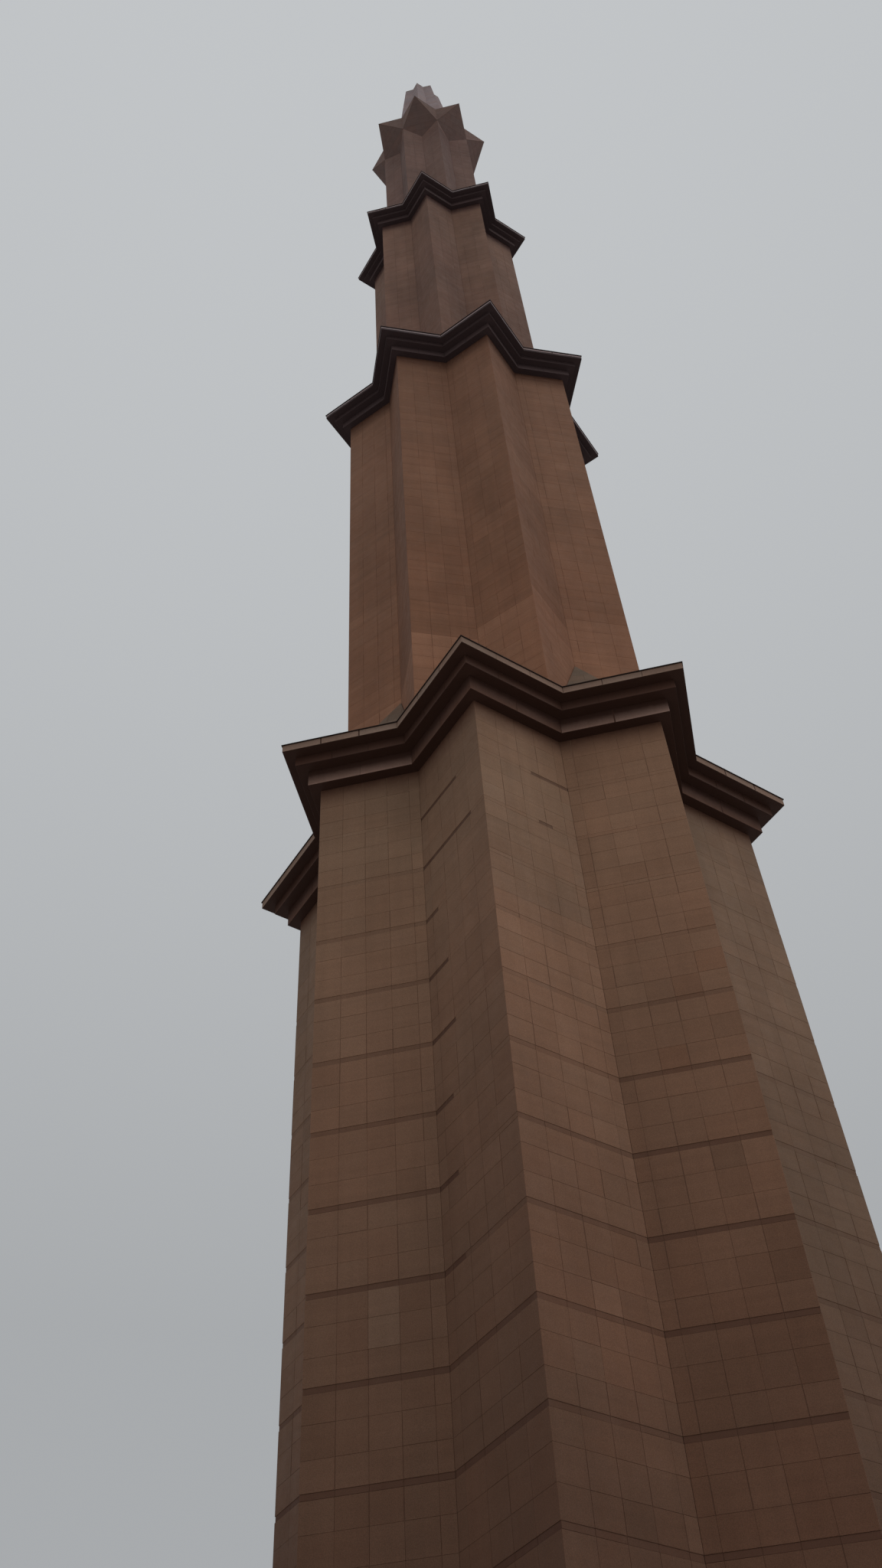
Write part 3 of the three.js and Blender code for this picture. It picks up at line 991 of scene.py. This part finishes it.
PALE_CORNICE = dict(
    materials=("fascia_stone", "dark_cornice", "ledge_stone"),
    slots=("ledge_stone", "dark_cornice", "ledge_stone"),
    tones=(0.20, 0.9, 0.5), top_shade_and_dirt=(1.3, 1.0, 0.1), foot_shade_and_dirt=(0.38, 0.15, 0.0),
    under="dark_cornice", coping=COPING_HEIGHT, lit_tone=0.95)
DARK_CORNICE = dict(
    materials=("high_cornice", "high_cornice", "pinnacle_stone"),
    slots=("dark_cornice", "dark_cornice", "ledge_stone"),
    tones=(0.45, 0.15, 0.95), top_shade_and_dirt=(0.9, 0.9, 0.0), foot_shade_and_dirt=(0.2, 0.3, 0.0),
    under="high_cornice", coping=HIGH_COPING, lip=THIN_LIP)
clad_cornice("first_cornice", 0, **PALE_CORNICE)
clad_cornice("second_cornice", 1, **DARK_CORNICE)
clad_cornice("third_cornice", 2, **DARK_CORNICE)


# The roofs on the ledges and over the crown, and the cap

ROOF_MARGIN = 0.0006
WALL_JOINT = 0.0045
CAP_COLUMN = 0.05
COVER_EDGE_TONE = 0.4
COVER_EDGE_DIRT = 0.1


def leaning_plane(left, right, over):
    """The plane through a level base edge and a corner over it."""
    along = (right - left).normalized()
    up = over - left
    return Plane(left, along, up - along * up.dot(along))


def sloped_panels(masonry, corners, choose, thickness=ROOF_SLAB, column=ROOF_COLUMN, wall_edge=None):
    """Slabs over a flat face that leans up from its base edge, the first two corners. An edge against a
    wall keeps an open dark joint."""
    plane = leaning_plane(*corners[:3])
    outline = [plane.flat(p) for p in corners]
    margins = [WALL_JOINT if edge == wall_edge else ROOF_MARGIN for edge in range(len(outline))]
    panel_outline(masonry, plane, outline, margins, thickness, COURSE, column, choose)


def ledge_roof(name, tier):
    node = f"{name}_ledge_roof"
    vertices = corners_of(node)
    foot, peak = low(node), high(node)
    eaves = min(v.z for v in vertices if v.z > foot + BEDDING)
    turn = SHAFTS[tier].turn
    wall_tip = SHAFTS[tier + 1].radius
    radii = {round(math.hypot(v.x, v.y), 4) for v in vertices if abs(v.z - eaves) < BEDDING}
    eaves_tip, plate_edge = sorted(radii)[-2:]
    slabs = Masonry(SEEDS["ledge_roofs"] + tier)
    choose = soft_stones(slabs)
    for point in range(POINTS):
        middle = turn + point * SECTOR
        tip = polar(eaves_tip, middle, eaves)
        apex = polar(wall_tip * VALLEY_SHARE, middle, peak)
        left, right = (polar(wall_tip, middle + side * HALF_SECTOR, eaves) for side in (-1, 1))
        sloped_panels(slabs, (left, tip, apex), choose, wall_edge=2)
        sloped_panels(slabs, (tip, right, apex), choose, wall_edge=1)
        plate_tip = polar(plate_edge, middle, eaves)
        for side, wall in ((-1, left), (1, right)):
            valley = polar(plate_edge * VALLEY_SHARE, middle + side * HALF_SECTOR, eaves)
            corners = (valley, plate_tip, tip, wall) if side < 0 else (plate_tip, valley, wall, tip)
            sloped_panels(slabs, corners, choose, PLATE_SLAB)
    slabs.to_piece(f"{name}_roof_slabs", MATERIALS["roof_stone"])


for tier, name in enumerate(("first", "second", "third")):
    ledge_roof(name, tier)


def folded_cover(node, column):
    """Slabs over the sixteen slopes of a folded cover, from its edge up to its inner star or its point."""
    foot, top = low(node), high(node)
    edge_tip, top_tip = reach(node), reach(node, top - BEDDING)
    eaves = max(v.z for v in corners_of(node) if math.hypot(v.x, v.y) > edge_tip - BEDDING)
    slabs = Masonry(SEEDS[node])
    choose = soft_stones(slabs)
    for face in faces_of(edge_tip, 0.0, eaves):
        over = [Vector((0.0, 0.0, top))]
        if top_tip > BEDDING:
            over = Face(top_tip, 0.0, face.point, face.side, top).ends()[::-1]
        sloped_panels(slabs, face.ends() + over, choose, THIN_PANEL, column)
    fascia(slabs, edge_tip, 0.0, foot, eaves, COVER_EDGE_TONE, COVER_EDGE_DIRT)
    slabs.to_piece(f"{node}_slabs", MATERIALS["roof_stone"])


folded_cover("crown_roof", ROOF_COLUMN)
folded_cover("pinnacle_cap", CAP_COLUMN)


# The crown: wall triangles, downward kites and rim triangles

# Painted shade on the downward kites.
KITE_SHADE = 0.42
RIM_DIRT = 0.10
CROWN_TONE = 0.45
CROWN_SPREAD = 0.07


def crown():
    node = "star_crown"
    shaft = SHAFTS[3]
    foot, top = low(node), high(node)
    shoulder = next(v.z for v in corners_of(node) if foot + BEDDING < v.z < top - BEDDING)
    tip_radius = reach(node)
    stones = Masonry(SEEDS["crown"])
    choose = soft_stones(stones, CROWN_TONE, CROWN_SPREAD)

    def clad(plane, corners, dirt_and_shade):
        outline = [plane.flat(p) for p in corners]
        panel_outline(stones, plane, outline, [COURSE_JOINT] * len(outline), THIN_PANEL, COURSE, COLUMN,
                      choose, dirt_and_shade)

    for point in range(POINTS):
        angle = point * SECTOR
        bottom = polar(shaft.radius * VALLEY_SHARE, angle, foot)
        crown_tip = polar(tip_radius, angle, top)
        sides = [polar(shaft.radius, angle + side * HALF_SECTOR, shoulder) for side in (-1, 1)]
        kite = Plane(bottom, sides[1] - sides[0], crown_tip - bottom)
        clad(kite, (bottom, sides[1], crown_tip, sides[0]), KITE_SHADE)
        for side, corner in zip((-1, 1), sides):
            below = Vector((corner.x, corner.y, foot))
            over = Vector((corner.x, corner.y, top))
            left, right = (bottom, below) if side > 0 else (below, bottom)
            clad(Plane(left, right - left, UP), (left, right, corner), 0.0)
            left, right = (crown_tip, over) if side > 0 else (over, crown_tip)
            clad(Plane(corner, right - left, UP), (corner, right, left), RIM_DIRT)
    stones.to_piece("crown_panels", MATERIALS["crown_granite"])
    add_coping("crown_coping", tip_radius, THIN_PANEL, top, COPING_HEIGHT)


crown()


# The pinnacle

PINNACLE_STONE = 0.0022
PINNACLE_JOINT = 0.0012
PINNACLE_JOINT_DEPTH = 0.0012
PINNACLE_SPREAD = 0.10


class LeaningFace:
    """A face of a star shaft that narrows upwards: its ends move in with the height up the slope."""

    def __init__(self, foot_face, top_face):
        self.foot_face, self.length = foot_face, foot_face.length
        left, right = foot_face.ends()
        over_left, over_right = top_face.ends()
        self.plane = leaning_plane(left, right, over_left)
        left_shift, self.height = self.plane.flat(over_left)
        self.shifts = (left_shift, self.plane.flat(over_right)[0] - self.length)

    def strip(self, v0, v1, w):
        """The outline between two heights, at a height over the face: mitred at the tip and the valley."""
        first, last = self.foot_face.limits(w)
        ends = [(first + self.shifts[0] * v / self.height, last + self.shifts[1] * v / self.height)
                for v in (v0, v1)]
        return [(ends[0][0], v0), (ends[0][1], v0), (ends[1][1], v1), (ends[1][0], v1)]


def pinnacle():
    """Courses of one stone a face, with open joints."""
    node = "pinnacle_shaft"
    foot, top = low(node), high(node)
    stones = Masonry(SEEDS["pinnacle"])
    choose = soft_stones(stones, spread=PINNACLE_SPREAD)
    bed = PINNACLE_STONE - PINNACLE_JOINT_DEPTH
    top_faces = faces_of(reach(node, top - BEDDING), 0.0, top)
    for foot_face, top_face in zip(faces_of(reach(node), 0.0, foot), top_faces):
        face = LeaningFace(foot_face, top_face)
        core, core_back = (face.strip(0.0, face.height, w) for w in (bed, -BEDDING))
        stones.block(face.plane, core, bed, 0.0, 1.0, MORTAR_HUE, core_back, MORTAR_BEVEL)
        count = round(face.height / COURSE)
        for i in range(count):
            v0 = face.height * i / count + PINNACLE_JOINT / 2
            v1 = face.height * (i + 1) / count - PINNACLE_JOINT / 2
            front, back = (face.strip(v0, v1, w) for w in (PINNACLE_STONE - BEVEL, bed - BEDDING))
            tone, hue = choose()
            stones.block(face.plane, front, PINNACLE_STONE, tone, 0.0, hue, back, bed=bed - BEDDING)
    stones.to_piece("pinnacle_panels", MATERIALS["pinnacle_stone"])


pinnacle()


# CAD nodes behind the cladding

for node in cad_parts.values():
    node.data.materials.clear()
    node.data.materials.append(BACKING)


# Floor, light and camera

FLOOR_SIZE = 400.0
FLOOR_COLOR = rgb(0.72, 0.72, 0.71)
FLOOR_ROUGHNESS = 0.9
KEY_ENERGY = 0.45
KEY_SOFTNESS = math.radians(45)
KEY_BEARING = math.radians(-28)
KEY_ELEVATION = math.radians(38)
SKY_LOW = rgb(0.390, 0.404, 0.418)
SKY_HIGH = rgb(0.545, 0.563, 0.580)
SKY_FADE_FROM = 0.5
VIEW_DEPTH = 1000.0


def floor():
    mesh = bpy.data.meshes.new("floor")
    half = FLOOR_SIZE / 2
    corners = [(-half, -half, 0), (half, -half, 0), (half, half, 0), (-half, half, 0)]
    mesh.from_pydata(corners, [], [(0, 1, 2, 3)])
    g = Graph(bpy.data.materials.new("pale_floor"))
    g.surface(FLOOR_COLOR, FLOOR_ROUGHNESS)
    mesh.materials.append(g.owner)
    add_object("floor", mesh)


def light():
    """A soft sky that brightens overhead, and a soft key light."""
    g = Graph(bpy.data.worlds.new("soft_sky"))
    direction = g.add("ShaderNodeTexCoord").outputs["Generated"]
    up = g.add("ShaderNodeSeparateXYZ", {"Vector": direction}).outputs["Z"]
    sky = g.mix(g.ramp(up, (0.0, 1.0), (SKY_FADE_FROM, 1.0)), SKY_LOW, SKY_HIGH)
    g.put(g.tree.nodes["Background"].inputs["Color"], sky)
    bpy.context.scene.world = g.owner
    data = bpy.data.lights.new("key", "SUN")
    data.energy = KEY_ENERGY
    data.angle = KEY_SOFTNESS
    towards = polar(math.cos(KEY_ELEVATION), KEY_BEARING, math.sin(KEY_ELEVATION))
    add_object("key", data).rotation_euler = towards.to_track_quat("Z", "Y").to_euler()


def camera():
    """Looks from the photograph's place: turned to the tower's axis and past it, tilted up and rolled."""
    data = bpy.data.cameras.new("camera")
    data.sensor_fit = "VERTICAL"
    data.sensor_height = SENSOR
    data.lens = FOCAL_PIXELS / FRAME_HEIGHT * SENSOR
    data.clip_end = VIEW_DEPTH
    place = Matrix.Translation(polar(EYE_DISTANCE, EYE_BEARING, EYE_HEIGHT))
    for angle, axis in ((EYE_BEARING + math.pi / 2 - YAW, "Z"), (math.pi / 2 + PITCH, "X"), (ROLL, "Z")):
        place = place @ Matrix.Rotation(angle, 4, axis)
    eye = add_object("camera", data)
    eye.matrix_world = place
    bpy.context.scene.camera = eye


floor()
light()
camera()
bpy.context.scene.view_settings.view_transform = "Standard"
